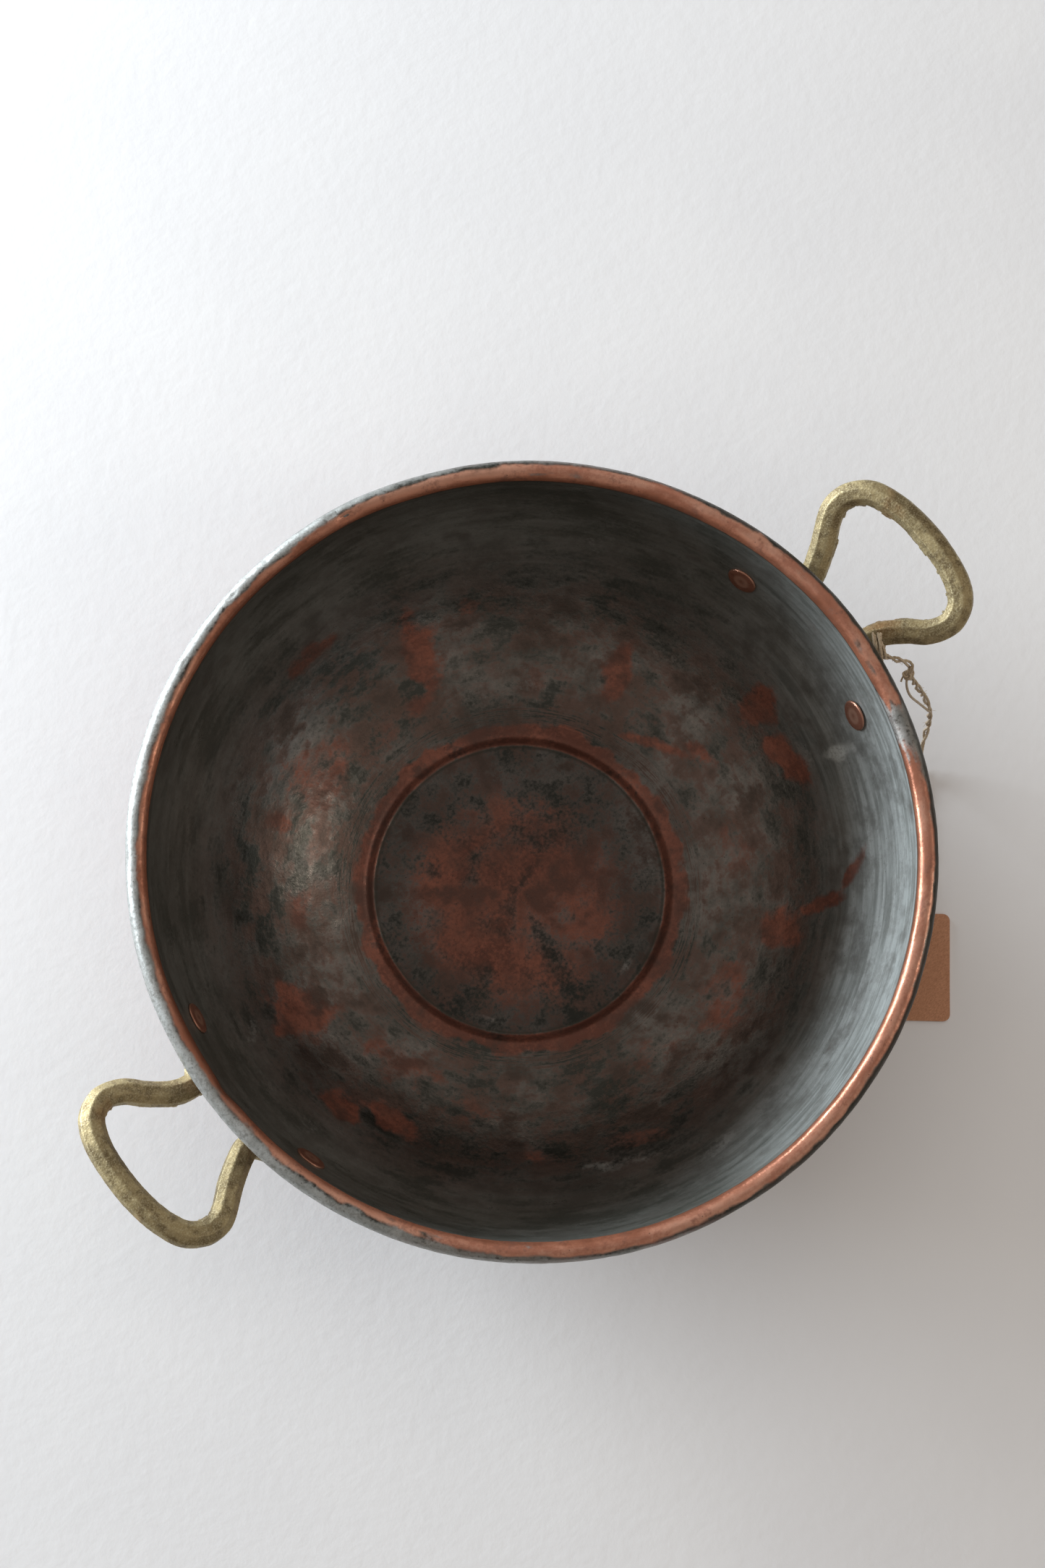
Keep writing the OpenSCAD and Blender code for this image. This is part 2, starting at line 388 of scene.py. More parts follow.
# The route in the part's own source, but the winding ends a third of a turn sooner, where it
# leaves the arm without a hairpin.
TWINE_RUN = [
    (172, -34, 86), (171, -37, 79), (173, -41, 68), (176, -46, 54), (178, -51, 40),
    (178, -55, 26), (175, -59, 13), (170, -64, 4), (163, -71, 1.2), (154, -81, 0.9),
    (146, -92, 0.9), (138, -101, 0.9), (131, -108, 1.3), (126, -114, 1.8), (123, -117, 1.6),
    (121.4, -118.7, 1),
]
TWINE_ROUTE = [wound(i) for i in range(16)] + [np.array(p, float) for p in TWINE_RUN]
TWINE_STEP = 0.45
STRAND_R = 0.56
STRAND_SIDES = 10
STRAND_LOWEST = 0.72
LAY_PITCH = 16
KNOT_R = 0.5
LOOSE_R = 0.42
LOOSE_SIDES = 8
SECOND_KNOT = np.array([169.5, -36.8, 81.6])
FIBRES = 150
FIBRE_R = 0.07


def twine_material():
    s = Shader("jute")
    place = s.place()
    fibre = s.noise(place, 2600, 4, 0.7)
    tone = s.noise(place, 180, 2)
    colour = s.mix(s.step(fibre, 0.3, 0.7), (0.27, 0.185, 0.105), (0.66, 0.53, 0.36))
    colour = s.mix(s.step(tone, 0.4, 0.7, 0, 0.4), colour, (0.74, 0.63, 0.47))
    s.set(Base_Color=colour, Roughness=0.9, Sheen_Weight=0.25)
    s.relief((fibre, 0.00012))
    return s.material


def knot_line():
    """The line of an overhand knot about its own centre."""
    t = np.linspace(0, 2 * math.pi, 60)
    reach = 1.35 + 0.55 * np.cos(3 * t)
    return np.stack([reach * np.cos(2 * t), reach * np.sin(2 * t), 0.8 * np.sin(3 * t)], axis=1)


def loose_tube(points):
    """A thin end of twine along a smooth line through points."""
    return tube(catmull(points, 8), lambda k, a: LOOSE_R, LOOSE_SIDES)


def loose_turn():
    """A loose turn over the arm, standing off it on the picture's upper side."""
    points = []
    for t in np.linspace(0, 2 * math.pi, 40):
        x, y = (ARM_FROM + ARM_DIR * (10.5 + 1.6 * math.sin(t))
                + ARM_SIDE * ((WIND_W + 2.0) * math.cos(t) - 2.0))
        points.append(loop_to_bowl(x, -y, (WIND_T + 0.9) * math.sin(t)))
    return tube(np.array(points), lambda k, a: 0.6 + 0.08 * np.cos(2 * (a - 0.7 * k)), LOOSE_SIDES)


def fibres(line):
    """Short hairs that stand out of the twine."""
    chance = np.random.default_rng(7)
    hairs = []
    for _ in range(FIBRES):
        root = line[chance.integers(3, len(line) - 3)]
        way = unit(chance.normal(size=3) + [0, 0, 0.2])
        size = chance.uniform(0.8, 2.6)
        curl = chance.normal(size=3) * 0.35 * size
        hair = catmull([root, root + way * size * 0.5 + curl * 0.3, root + way * size + curl], 4)
        if hair[:, 2].min() > 0.2:
            hairs.append(tube(hair, lambda k, a: FIBRE_R, 4))
    return hairs


def make_twine():
    """Two thin strands laid loosely round each other, the knots, and loose fibres."""
    line = walked(catmull(TWINE_ROUTE, 6), TWINE_STEP)
    run = np.arange(len(line)) * TWINE_STEP
    _, u, v = line_frames(line)
    wobble = noise(np.stack([run / 7, run * 0, run * 0], axis=1), 5)
    lay = (2 * math.pi * run / LAY_PITCH + 1.3 * wobble)[:, None]
    apart = (0.40 + 0.30 * smooth(44, 60, run) * (1 + 0.5 * wobble))[:, None]
    strands = []
    for half in (0, math.pi):
        strand = line + apart * (np.cos(lay + half) * u + np.sin(lay + half) * v)
        strand[:, 2] = np.maximum(strand[:, 2], STRAND_LOWEST)

        def strand_radius(k, angle, half=half):
            return STRAND_R + 0.09 * np.cos(2 * (angle - 1.9 * run[k] + half))
        strands.append(tube(strand, strand_radius, STRAND_SIDES))
    twine = mesh_object("twine", *joined(strands))

    tie, end = line[np.argmin(np.linalg.norm(line - TWINE_RUN[1], axis=1))], line[-1]
    parts = [tube(knot_line() * scale + centre, lambda k, a: KNOT_R, LOOSE_SIDES)
             for centre, scale in ((tie, 1.0), (SECOND_KNOT, 0.95))]
    parts.append(loose_tube([tie, tie + [0.5, 1.5, -2.5], tie + [-1.5, 1.0, -6.0],
                             tie + [-2.6, 0.2, -8.4]]))
    parts.append(loose_tube([tie, tie + [-0.5, -2.0, -2.0], SECOND_KNOT]))
    # The turn through the tag's hole.
    parts.append(loose_tube([end + [-1.5, -0.6, 0.2], end + [0.6, -0.2, 1.6],
                             line[-14] + [0, 0, 0.5], line[-26] + [0.3, 0.5, 0.6]]))
    # The twine's other end, hanging a little apart from it.
    parts.append(tube(catmull([(172, -35.2, 85), (168.8, -38.5, 76), (169.2, -43, 64),
                               (173.4, -48, 50), (178, -53, 36)], 10),
                      lambda k, a: 0.55, LOOSE_SIDES))
    parts.append(loose_turn())
    parts += fibres(line)
    knots = mesh_object("twine_knots", *joined(parts))
    jute = twine_material()
    finished(twine, jute)
    finished(knots, jute)
    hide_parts("tag_twine")
    return twine, knots, line


# ---- the tag ----

TAG_AT = np.array([110.0, -132.0])
TAG_TURN = math.radians(49.5)
TAG_L, TAG_W, TAG_T = 46.0, 30.0, 0.6
TAG_CORNER = 3
TAG_HOLE_R = 2.4
TAG_HOLE_X = TAG_L / 2 - 5.5


def tag_material():
    s = Shader("kraft")
    place = s.place()
    fibre = s.noise(s.scaled(place, (1.0, 2.2, 1.0)), 900, 5, 0.7)
    cloud = s.noise(place, 90, 3)
    speck = s.cells(place, 650)
    colour = s.mix(s.step(fibre, 0.25, 0.75), (0.38, 0.175, 0.095), (0.62, 0.32, 0.185))
    colour = s.mix(s.step(cloud, 0.35, 0.7, 0, 0.35), colour, (0.44, 0.21, 0.115))
    colour = s.mix(s.step(speck, 0.10, 0.0, 0, 0.5), colour, (0.20, 0.095, 0.055))
    s.set(Base_Color=colour, Roughness=0.85)
    s.relief((fibre, 0.00006))
    return s.material


def make_tag():
    """A kraft tag: rounded corners, a punched hole and a slight curl."""
    columns, rows = 60, 40
    x = np.linspace(-TAG_L / 2, TAG_L / 2, columns)
    y = np.linspace(-TAG_W / 2, TAG_W / 2, rows)
    px, py = (g.ravel() for g in np.meshgrid(x, y))
    cx = np.clip(px, -TAG_L / 2 + TAG_CORNER, TAG_L / 2 - TAG_CORNER)
    cy = np.clip(py, -TAG_W / 2 + TAG_CORNER, TAG_W / 2 - TAG_CORNER)
    away = np.hypot(px - cx, py - cy)
    pull = np.where(away > TAG_CORNER, TAG_CORNER / np.maximum(away, 1e-6), 1)
    corner = (np.abs(px - cx) > 0) & (np.abs(py - cy) > 0)
    px = np.where(corner, cx + (px - cx) * pull, px)
    py = np.where(corner, cy + (py - cy) * pull, py)
    inside = np.hypot(px - TAG_HOLE_X, py) < TAG_HOLE_R
    curl = (0.54 * smooth(-8, -24, px)
            + 0.12 * (1 + noise(np.stack([px / 14, py / 14, px * 0], 1), 3)))
    top = np.stack([px, py, TAG_T + curl], axis=1)
    low = np.stack([px, py, curl], axis=1)
    quads = grid_faces(rows, columns, wrap_columns=False)
    quads = quads[~inside[quads].any(axis=1)]
    count = len(px)
    faces = quads.tolist() + (quads[:, ::-1] + count).tolist()
    # A wall along each edge that only one quad has: the outline and the hole.
    edges = {(a, b): True for q in quads for a, b in zip(q, np.roll(q, -1))}
    for a, b in edges:
        if (b, a) not in edges:
            faces.append([b, a, a + count, b + count])
    verts = np.concatenate([top, low])
    c, s = math.cos(TAG_TURN), math.sin(TAG_TURN)
    turned_x = verts[:, 0] * c - verts[:, 1] * s
    turned_y = verts[:, 0] * s + verts[:, 1] * c
    verts = np.column_stack([turned_x + TAG_AT[0], turned_y + TAG_AT[1], verts[:, 2]])
    tag = mesh_object("tag", verts, faces, smooth_faces=False)
    finished(tag, tag_material())
    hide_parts("paper_tag")
    return tag


make_camera()
twine, knots, twine_line = make_twine()
tag = make_tag()


# ---- the bowl ----

def wall_normal(t):
    """The way out of the wall at a place on its section."""
    return unit(np.array([WALL_B * math.cos(t), -WALL_A * math.sin(t)]))


def wall_point(t, out):
    """A point on the wall's section, out millimetres outside its inner face."""
    inner = np.array([CURVE_R + WALL_A * math.cos(t), RIM_Z - WALL_B * math.sin(t)])
    return inner + out * wall_normal(t)


def face_section(out):
    """One face of the sheet from the axis to the rim: disc, step, shoulder and wall."""
    slope = math.atan2(WALL_B * math.cos(WALL_END), WALL_A * math.sin(WALL_END))
    centre = wall_point(WALL_END, ROUND_R)
    rounds = [centre + (ROUND_R - out) * np.array([-math.sin(s), math.cos(s)])
              for s in np.linspace(slope, STEP_SLOPE, 7)]
    top = centre + ROUND_R * np.array([-math.sin(STEP_SLOPE), math.cos(STEP_SLOPE)])
    foot_z = SHEET + FILLET_R * (1 - math.cos(STEP_SLOPE))
    foot_x = top[0] - (top[1] - foot_z) / math.tan(STEP_SLOPE)
    middle = np.array([foot_x - FILLET_R * math.sin(STEP_SLOPE), SHEET + FILLET_R])
    fillets = [middle + (FILLET_R + out) * np.array([math.sin(s), -math.cos(s)])
               for s in np.linspace(STEP_SLOPE, 0, 6)]
    wall = [wall_point(t, out) for t in np.linspace(0, WALL_END, 60)]
    line = wall + rounds[1:] + fillets + [np.array([0, SHEET - out])]
    return np.array(line[::-1])


def bowl_section():
    """The bowl's section from the inner axis over the rim to the outer axis, in three lengths."""
    inner = walked(face_section(0.0), 1.25)
    outer = walked(face_section(SHEET), 1.6)[::-1]
    roll = [np.array([BEAD_X + BEAD_R * math.cos(a), RIM_Z + BEAD_R * math.sin(a)])
            for a in np.radians(np.linspace(176, -138, 40))]
    return inner[1:], np.array(roll), outer[3:-1]


INNER, ROLL, OUTER = bowl_section()
SECTION = np.concatenate([INNER, ROLL, OUTER])
RUN = np.concatenate([[0], np.cumsum(np.linalg.norm(np.diff(SECTION, axis=0), axis=1))])
SECTION_OUT = unit(np.stack([-np.gradient(SECTION[:, 1]), np.gradient(SECTION[:, 0])], axis=1))
PART = np.r_[np.zeros(len(INNER)), np.ones(len(ROLL)), np.full(len(OUTER), 2)]
AZIMUTHS = 640
CREASE_RUN = float(np.interp(CREASE_R, INNER[:, 0], RUN[:len(INNER)]))
RIM_RUN = RUN[len(INNER) - 1]
GROOVE_RUN = RIM_RUN - 5.2
BLOW_PITCH = 9.5
BLOW_OUTSIDE, BLOW_INSIDE = 0.24, 0.06

# Worn patches on the inside: azimuth, radius, half length round the bowl, half width
# across, lean in degrees, and strength.
COPPER_PATCHES = [
    (26.5, 100, 6, 11, 0, 0.95), (8, 84, 19, 2.2, -24, 0.75), (74, 106, 8, 17, 8, 0.9),
    (79, 88, 9, 4, -20, 0.6), (63, 118, 7, 3, 0, 0.55), (95, 128, 13, 3, 0, 0.6),
    (111, 97, 17, 14, 25, 0.55), (127, 104, 4, 8, 10, 0.6), (146, 92, 14, 5, 8, 0.55),
    (172, 107, 13, 12, -15, 1.0), (191, 121, 12, 5, -10, 0.95), (203, 114, 15, 5, 6, 0.95),
    (196, 90, 20, 10, 0, 0.55), (233, 114, 6, 5, 0, 0.5), (254, 117, 15, 4, 14, 0.55),
    (292, 99, 18, 10, -12, 0.55), (311, 109, 8, 9, 20, 1.0), (316, 124, 4, 10, -32, 0.95),
    (321, 134, 9, 2.4, 26, 0.9), (345, 121, 14, 5, -8, 0.95), (357, 122, 9, 7, 12, 0.85),
    (356, 96, 11, 3, -20, 0.7), (44, 92, 12, 8, 0, 0.35), (218, 99, 15, 6, 0, 0.4),
    (270, 90, 16, 6, 0, 0.4), (330, 92, 12, 6, 0, 0.4), (98, 84, 14, 5, 0, 0.4),
]
# Bare pale tin or lime scale: the same six numbers. The patch at azimuth 265 near the rim lies in
# the window's lit zone and the one at azimuth 137 in the far window's highlight: both are partly
# painted highlight.
PALE_PATCHES = [
    (342, 137, 3.5, 6, 25, 0.9), (250, 124, 22, 3, 5, 0.45), (244, 122, 8, 2, 0, 0.6),
    (265, 136, 14, 3, 0, 0.45), (137, 92, 16, 11, 0, 0.4), (58, 86, 26, 9, 0, 0.35),
    (18, 112, 12, 5, 0, 0.3), (170, 128, 8, 3, 30, 0.4), (190, 136, 6, 4, 0, 0.3),
    (38, 139, 8, 3, 10, 0.3), (345, 128, 12, 3, -10, 0.35), (215, 57, 12, 2, 0, 0.45),
    (335, 57, 16, 2, 0, 0.4), (284, 56, 5, 2, 0, 0.5),
]
# Dents in the rim: azimuth, height on the roll in degrees, half sizes, depth.
RIM_DENTS = [
    (79.6, 112, 1.3, 22, 1.7), (81.4, 70, 0.8, 18, 0.7), (100, 70, 0.9, 16, 0.5),
    (93, 55, 0.8, 14, 0.4), (178.5, 165, 2.2, 40, 1.0), (112, 75, 0.7, 12, 0.35),
    (221, 60, 0.8, 18, 0.4), (232, 40, 0.6, 14, 0.35), (196, 90, 0.7, 12, 0.3),
    (14, 85, 0.9, 20, 0.35), (330, 60, 0.8, 14, 0.3), (141, 30, 1.4, 20, 0.5),
]


def patches(table, azimuth, radius, edge):
    """How strongly each point lies in any of a table's patches. edge makes them uneven."""
    total = np.zeros(len(azimuth))
    for at, middle, half_round, half_across, lean, strength in table:
        u = np.radians(turned(azimuth, at)) * middle
        v = radius - middle
        c, s = math.cos(math.radians(lean)), math.sin(math.radians(lean))
        reach = np.hypot((u * c + v * s) / half_round, (v * c - u * s) / half_across)
        total = np.maximum(total, strength * smooth(1.45, 0.4, reach + 0.75 * edge))
    return total


def hammered(azimuth, run, radius, pitch, seed):
    """Shallow facets in rings, each a hammer blow: 0 at a facet's middle, 1 at its edge."""
    best = np.full(len(run), 9.0)
    ring = np.floor(run / pitch)
    for step in (-1, 0, 1):
        k = ring + step
        ring_length = 2 * math.pi * np.interp(k * pitch, RUN, SECTION[:, 0])
        around = np.maximum(6, np.round(ring_length / pitch))
        for side in (-1, 0, 1):
            spot = np.floor(azimuth / 360 * around) + side
            cell = np.stack([k + 50, spot % around + 50, k * 0 + 7], axis=1).astype(np.int64)
            shift, slide = hash3(cell, seed) * 0.32, hash3(cell, seed + 1) * 0.32
            turn = turned(azimuth, (spot + 0.5 + shift) / around * 360) / 360
            du = turn * 2 * math.pi * radius
            dv = run - (k + 0.5 + slide) * pitch
            best = np.minimum(best, (du ** 2 + dv ** 2) / pitch ** 2)
    return np.clip(best / 0.45, 0, 1.2)


def around_bowl(values):
    """Values along the section, repeated all the way round."""
    return np.repeat(values, AZIMUTHS)


class Skin:
    """Where the bowl's vertices are, apart from the two on its axis."""

    def __init__(self):
        self.azimuth = np.tile(360 * np.arange(AZIMUTHS) / AZIMUTHS, len(SECTION))
        self.angle = np.radians(self.azimuth)
        self.radius, self.height = around_bowl(SECTION[:, 0]), around_bowl(SECTION[:, 1])
        self.out_r, self.out_z = around_bowl(SECTION_OUT[:, 0]), around_bowl(SECTION_OUT[:, 1])
        self.run, self.part = around_bowl(RUN), around_bowl(PART)
        self.inner, self.roll, self.outer = (self.part == k for k in range(3))
        self.flat = np.stack([self.radius * np.cos(self.angle), self.radius * np.sin(self.angle),
                              self.height], axis=1)
        # How far round the rolled rim, in degrees from its outermost point over its top.
        self.tall = np.degrees(np.arctan2(self.height - RIM_Z, self.radius - BEAD_X)) % 360

    def ring(self, size):
        """A circle of some size to take noise from, so that it meets itself."""
        return np.stack([np.cos(self.angle) * size, np.sin(self.angle) * size, self.angle * 0], 1)

    def toward(self, azimuth):
        """1 on the side at an azimuth, and -1 opposite."""
        return np.cos(np.radians(turned(self.azimuth, azimuth)))


def bowl_lift(k):
    """Hammer marks, finer wobble, the grooves, and the dents in the rim."""
    blows = hammered(k.azimuth, k.run, np.maximum(k.radius, 4), BLOW_PITCH, 11)
    blow_depth = np.where(k.outer, BLOW_OUTSIDE, BLOW_INSIDE)
    lift = blow_depth * (blows - 0.5) * smooth(8, 30, k.radius) * ~k.roll
    lift += 0.22 * layered(k.flat / 38, 21) * ~k.roll + 0.05 * layered(k.flat / 9, 23)
    lift += 0.10 * layered(k.flat / 3.2, 27, 2) * k.roll
    broken = 0.4 + 0.6 * smooth(-0.3, 0.4, noise(k.ring(2), 31))
    lift -= 0.28 * bump(k.run, GROOVE_RUN, 0.7) * k.inner * broken
    lift -= 0.25 * bump(k.run, CREASE_RUN + 0.3, 0.9) * k.inner
    for at, around, half, half_roll, depth in RIM_DENTS:
        reach = np.hypot(turned(k.azimuth, at) / half, turned(k.tall, around) / half_roll)
        lift -= depth * np.exp(-reach ** 2) * k.roll
    return lift


def bowl_surface(k):
    """The lifted skin, with a rim that is very slightly oval and uneven."""
    lift = bowl_lift(k)
    radius, height = k.radius + lift * k.out_r, k.height + lift * k.out_z
    grip = smooth(10, RIM_Z, k.height)
    oval = 0.0033 * np.cos(2 * (k.angle + HANDLE_LINE)) + 0.0012 * np.cos(3 * k.angle + 0.7)
    radius *= 1 + grip * (oval + 0.0016 * noise(k.ring(1.7) * 3, 41))
    height += grip * 0.35 * noise(k.ring(1.7) * 2, 43)
    # The foot stays above the floor.
    height = np.where(k.outer, np.maximum(height, 0.02), height)
    return np.stack([radius * np.cos(k.angle), radius * np.sin(k.angle), height], axis=1)


def bowl_zones(k):
    """What the surface is: red for copper worn bare, green for pale tin, blue for grime with
    painted shade in the creases and on the rim's shaded side.
    """
    edge = layered(k.flat / 7, 51, 4)
    broad = layered(k.flat / 26, 55, 3)
    # The picture's left side of the rim, toward the window, keeps more pale tin and is painted
    # paler as painted light; the right side gets painted shade.
    left = smooth(-0.1, 0.75, k.toward(145))
    shaded_side = smooth(0.05, 0.75, k.toward(322))
    blotches = layered(np.stack([k.azimuth / 5, k.tall / 60, k.run * 0], 1), 61, 3)
    # Tin left on the roll in blotches and near azimuth 342; the weak hump near azimuth 4 on the
    # roll's top is partly tin, partly a painted highlight.
    tinned = smooth(0.42, 0.85, blotches + 0.75 * bump(turned(k.azimuth, 342), 0, 7)
                    + 0.1 * bump(turned(k.azimuth, 4), 0, 24) * bump(k.tall, 112, 22))

    copper = patches(COPPER_PATCHES, k.azimuth, k.radius, edge) * k.inner
    worn_ring = smooth(61, 62, k.radius) * smooth(72.5, 68.5, k.radius + 4 * edge)
    copper = np.maximum(copper, k.inner * worn_ring * (0.92 + 0.4 * broad))
    low_side = 0.5 - 0.5 * np.cos(np.radians(k.azimuth - 20))
    disc = smooth(55, 24, k.radius + 8 * edge - 10 * low_side)
    disc *= 0.68 + 0.34 * broad + 0.34 * edge
    disc = np.maximum(disc, 0.74 * smooth(30, 12, k.radius + 7 * edge))
    copper = np.maximum(copper, k.inner * (k.radius < 60) * disc)
    bare_from = 60 + 38 * left
    bare_roll = smooth(bare_from - 22, bare_from + 22, k.tall + 26 * edge)
    bare_roll *= smooth(214, 176, k.tall)
    copper = np.where(k.roll, bare_roll * (1 - 0.75 * tinned), copper)
    outer_mix = smooth(-0.2, 0.5, broad + 0.4 * edge + 0.3)
    copper = np.where(k.outer, 0.25 + 0.55 * outer_mix, copper)

    pale = patches(PALE_PATCHES, k.azimuth, k.radius, edge) * k.inner
    below = np.where(k.tall > 200, 0, k.tall)
    skirt = smooth(bare_from + 24, bare_from - 20, below + 30 * edge)
    # Pale tin on the roll: painted paler on the window side as painted light, and taken away on
    # the far side as painted shade.
    pale_roll = np.maximum((0.55 + 0.4 * left) * (1 - shaded_side) * skirt, 0.7 * tinned)
    pale = np.where(k.roll, pale_roll, pale)
    # Pale tin high on the outside, stronger toward the window: partly painted light.
    pale_outside = 0.5 * smooth(96, 112, k.height) * smooth(0.0, 0.5, edge + 0.5 * left)
    pale = np.where(k.outer, pale_outside, pale)

    # Dark lines round the disc's crease, along the groove below the rim and where the wall meets
    # the roll: partly grime, partly painted shade.
    grime_and_shade = k.inner * (0.8 * bump(k.run, CREASE_RUN + 0.2, 1.0)
                       + 0.5 * bump(k.run, GROOVE_RUN, 0.9) + bump(k.run, RIM_RUN + 0.2, 0.8))
    # On the roll: a dark line at its inner edge, partly grime and partly painted shade in the
    # crease, and painted shade over its outer side away from the window.
    grime_and_shade += k.roll * (bump(k.tall, 176, 7)
                       + 0.9 * smooth(70, 44, turned(k.tall, 0) + 18 * edge) * shaded_side)
    # Outside: grime all over, and a darker line just under the roll.
    grime_and_shade += k.outer * (0.25 + 0.4 * smooth(0.1, 0.6, layered(k.flat / 16, 71))
                        + bump(k.height, 104, 3) * 0.5)
    return copper, pale, np.clip(grime_and_shade, 0, 1)


def make_bowl():
    rows = len(SECTION)
    k = Skin()
    axis = [[0, 0, SHEET + 0.1], [0, 0, 0.03]]
    faces = grid_faces(rows, AZIMUTHS).tolist() + end_caps(rows, AZIMUTHS)
    bowl = mesh_object("bowl", np.concatenate([bowl_surface(k), axis]), faces)

    def paint(name, red, green, blue):
        values = np.stack([red, green, blue], axis=1)
        point_attribute(bowl, name, np.concatenate([values, values[:1], values[-1:]]))

    paint("zones", *bowl_zones(k))
    # Where a point is round the bowl and along its section, for marks that follow the turning.
    paint("turning", 0.5 + 0.5 * np.cos(k.angle), 0.5 + 0.5 * np.sin(k.angle), k.run / 500)
    # Outside, the upper part of the inner wall, and all of the wall.
    paint("side", k.part / 2, smooth(112, 146, k.radius) * k.inner, smooth(70, 78, k.radius))
    # Across the rolled rim, and the upper wall where the window light falls, which is painted
    # paler as painted light.
    window_lit_wall = k.inner * smooth(118, 142, k.radius) * smooth(0.45, 1.0, k.toward(316))
    paint("rim", k.roll * np.clip(k.tall, 0, 200) / 200, window_lit_wall, k.run * 0)
    return bowl


def bowl_material():
    s = Shader("tinned_copper")
    place = s.place()
    copper, pale, grime_and_shade = s.painted_parts("zones")
    outside, upper, wall = s.painted_parts("side")
    across, window_lit_wall, _ = s.painted_parts("rim")
    turning = s.painted("turning")
    streaks = s.noise(s.scaled(turning, (5.0, 5.0, 170.0)), 1.0, 5, 0.65)
    fine = s.noise(place, 600, 4, 0.65)
    mid = s.noise(place, 95, 5, 0.62)
    broad = s.noise(place, 24, 4, 0.6)
    stains = s.noise(place, 48, 6, 0.64)
    # Stains drawn out by the turning on the wall, and even ones on the disc.
    drift = s.noise(s.mix(wall, s.scaled(place, (75, 75, 75)),
                          s.scaled(turning, (11.0, 11.0, 60.0))), 1.0, 6, 0.62)
    grains = s.cells(place, 900)
    specks = s.cells(place, 260)

    def swing(value, amount):
        return s.maths("MULTIPLY", s.maths("SUBTRACT", value, 0.5), amount)

    def share(value, other):
        return s.maths("MULTIPLY", value, other)

    def plus(value, other):
        return s.maths("ADD", value, other)

    def less(value, other):
        return s.maths("SUBTRACT", value, other)

    # Old tin: greenish grey, with brown stains and darker clouds drawn out by the turning.
    speckle = plus(plus(swing(mid, 0.8), swing(fine, 0.45)), 0.5)
    cloud = plus(plus(broad, swing(drift, 1.0)), swing(fine, 0.45))
    tin = s.mix(s.step(cloud, 0.27, 0.70), (0.072, 0.073, 0.064), (0.30, 0.272, 0.250))
    brown = share(s.step(plus(drift, swing(speckle, 0.9)), 0.40, 0.62, 0, 0.72),
                  less(1.0, share(upper, 0.75)))
    tin = s.mix(brown, tin, s.mix(s.step(speckle, 0.35, 0.65),
                                  (0.125, 0.062, 0.048), (0.24, 0.128, 0.100)))
    tin = s.mix(share(s.step(streaks, 0.50, 0.72, 0, 0.22), wall), tin, (0.25, 0.25, 0.235))
    old = s.mix(s.step(plus(cloud, swing(streaks, 0.5)), 0.3, 0.7),
                (0.070, 0.073, 0.062), (0.150, 0.157, 0.143))
    tin = s.mix(share(upper, 0.85), tin, old)
    # Painted light: a paler, streaky colour on the upper wall where the window light falls.
    tin = s.mix(share(window_lit_wall, s.step(plus(drift, swing(streaks, 1.2)), 0.25, 0.6, 0.55, 0.95)), tin,
                s.mix(s.step(streaks, 0.35, 0.65), (0.27, 0.285, 0.275), (0.355, 0.37, 0.36)))
    tin = s.mix(s.step(speckle, 0.42, 0.64, 0, 0.35), tin, (0.085, 0.080, 0.068))
    dark = plus(stains, swing(drift, 0.6))
    tin = s.mix(s.step(dark, 0.46, 0.72, 0, 0.6), tin, (0.062, 0.058, 0.050))

    # Copper where the tin has worn away, mottled, with soft ragged edges.
    ragged = plus(plus(copper, swing(fine, 0.4)), plus(swing(mid, 0.9), swing(drift, 1.1)))
    bare = share(s.step(ragged, 0.18, 0.85), 0.95)
    tones = s.step(cloud, 0.35, 0.65)
    red = s.mix(tones, (0.170, 0.063, 0.043), (0.33, 0.118, 0.076))
    red = s.mix(s.step(speckle, 0.50, 0.70, 0, 0.5), red, (0.15, 0.068, 0.050))
    red = s.mix(s.step(dark, 0.44, 0.66, 0, 0.75), red, (0.072, 0.044, 0.036))
    # The rolled rim: bright copper, duller on its inward side.
    rolled = s.step(s.maths("ABSOLUTE", less(outside, 0.5)), 0.2, 0.1)
    inward = s.step(plus(across, swing(drift, 0.5)), 0.42, 0.74)
    band = s.mix(inward, s.mix(tones, (0.67, 0.345, 0.240), (0.50, 0.210, 0.135)),
                 s.mix(tones, (0.46, 0.175, 0.100), (0.31, 0.112, 0.062)))
    band = s.mix(s.step(speckle, 0.52, 0.68, 0, 0.55), band, (0.22, 0.105, 0.075))
    red = s.mix(rolled, red, band)
    red = s.mix(s.step(outside, 0.7, 0.9), red,
                s.mix(s.step(broad, 0.35, 0.65), (0.20, 0.085, 0.055), (0.30, 0.135, 0.085)))
    colour = s.mix(bare, tin, red)

    # Lime scale and bright tin, then grime and painted shade in the creases and on the rim's
    # shaded side, then dark specks.
    lime = s.step(plus(pale, plus(swing(fine, 1.3), swing(mid, 0.8))), 0.25, 0.95)
    colour = s.mix(share(lime, 0.85), colour,
                   s.mix(s.step(fine, 0.4, 0.65), (0.44, 0.45, 0.435), (0.25, 0.255, 0.24)))
    dirt_and_shade = s.step(plus(grime_and_shade, swing(mid, 0.6)), 0.15, 0.9)
    colour = s.mix(share(dirt_and_shade, 0.85), colour, (0.042, 0.038, 0.029))
    colour = s.mix(s.step(specks, 0.09, 0.03, 0, 0.7), colour, (0.035, 0.028, 0.022))

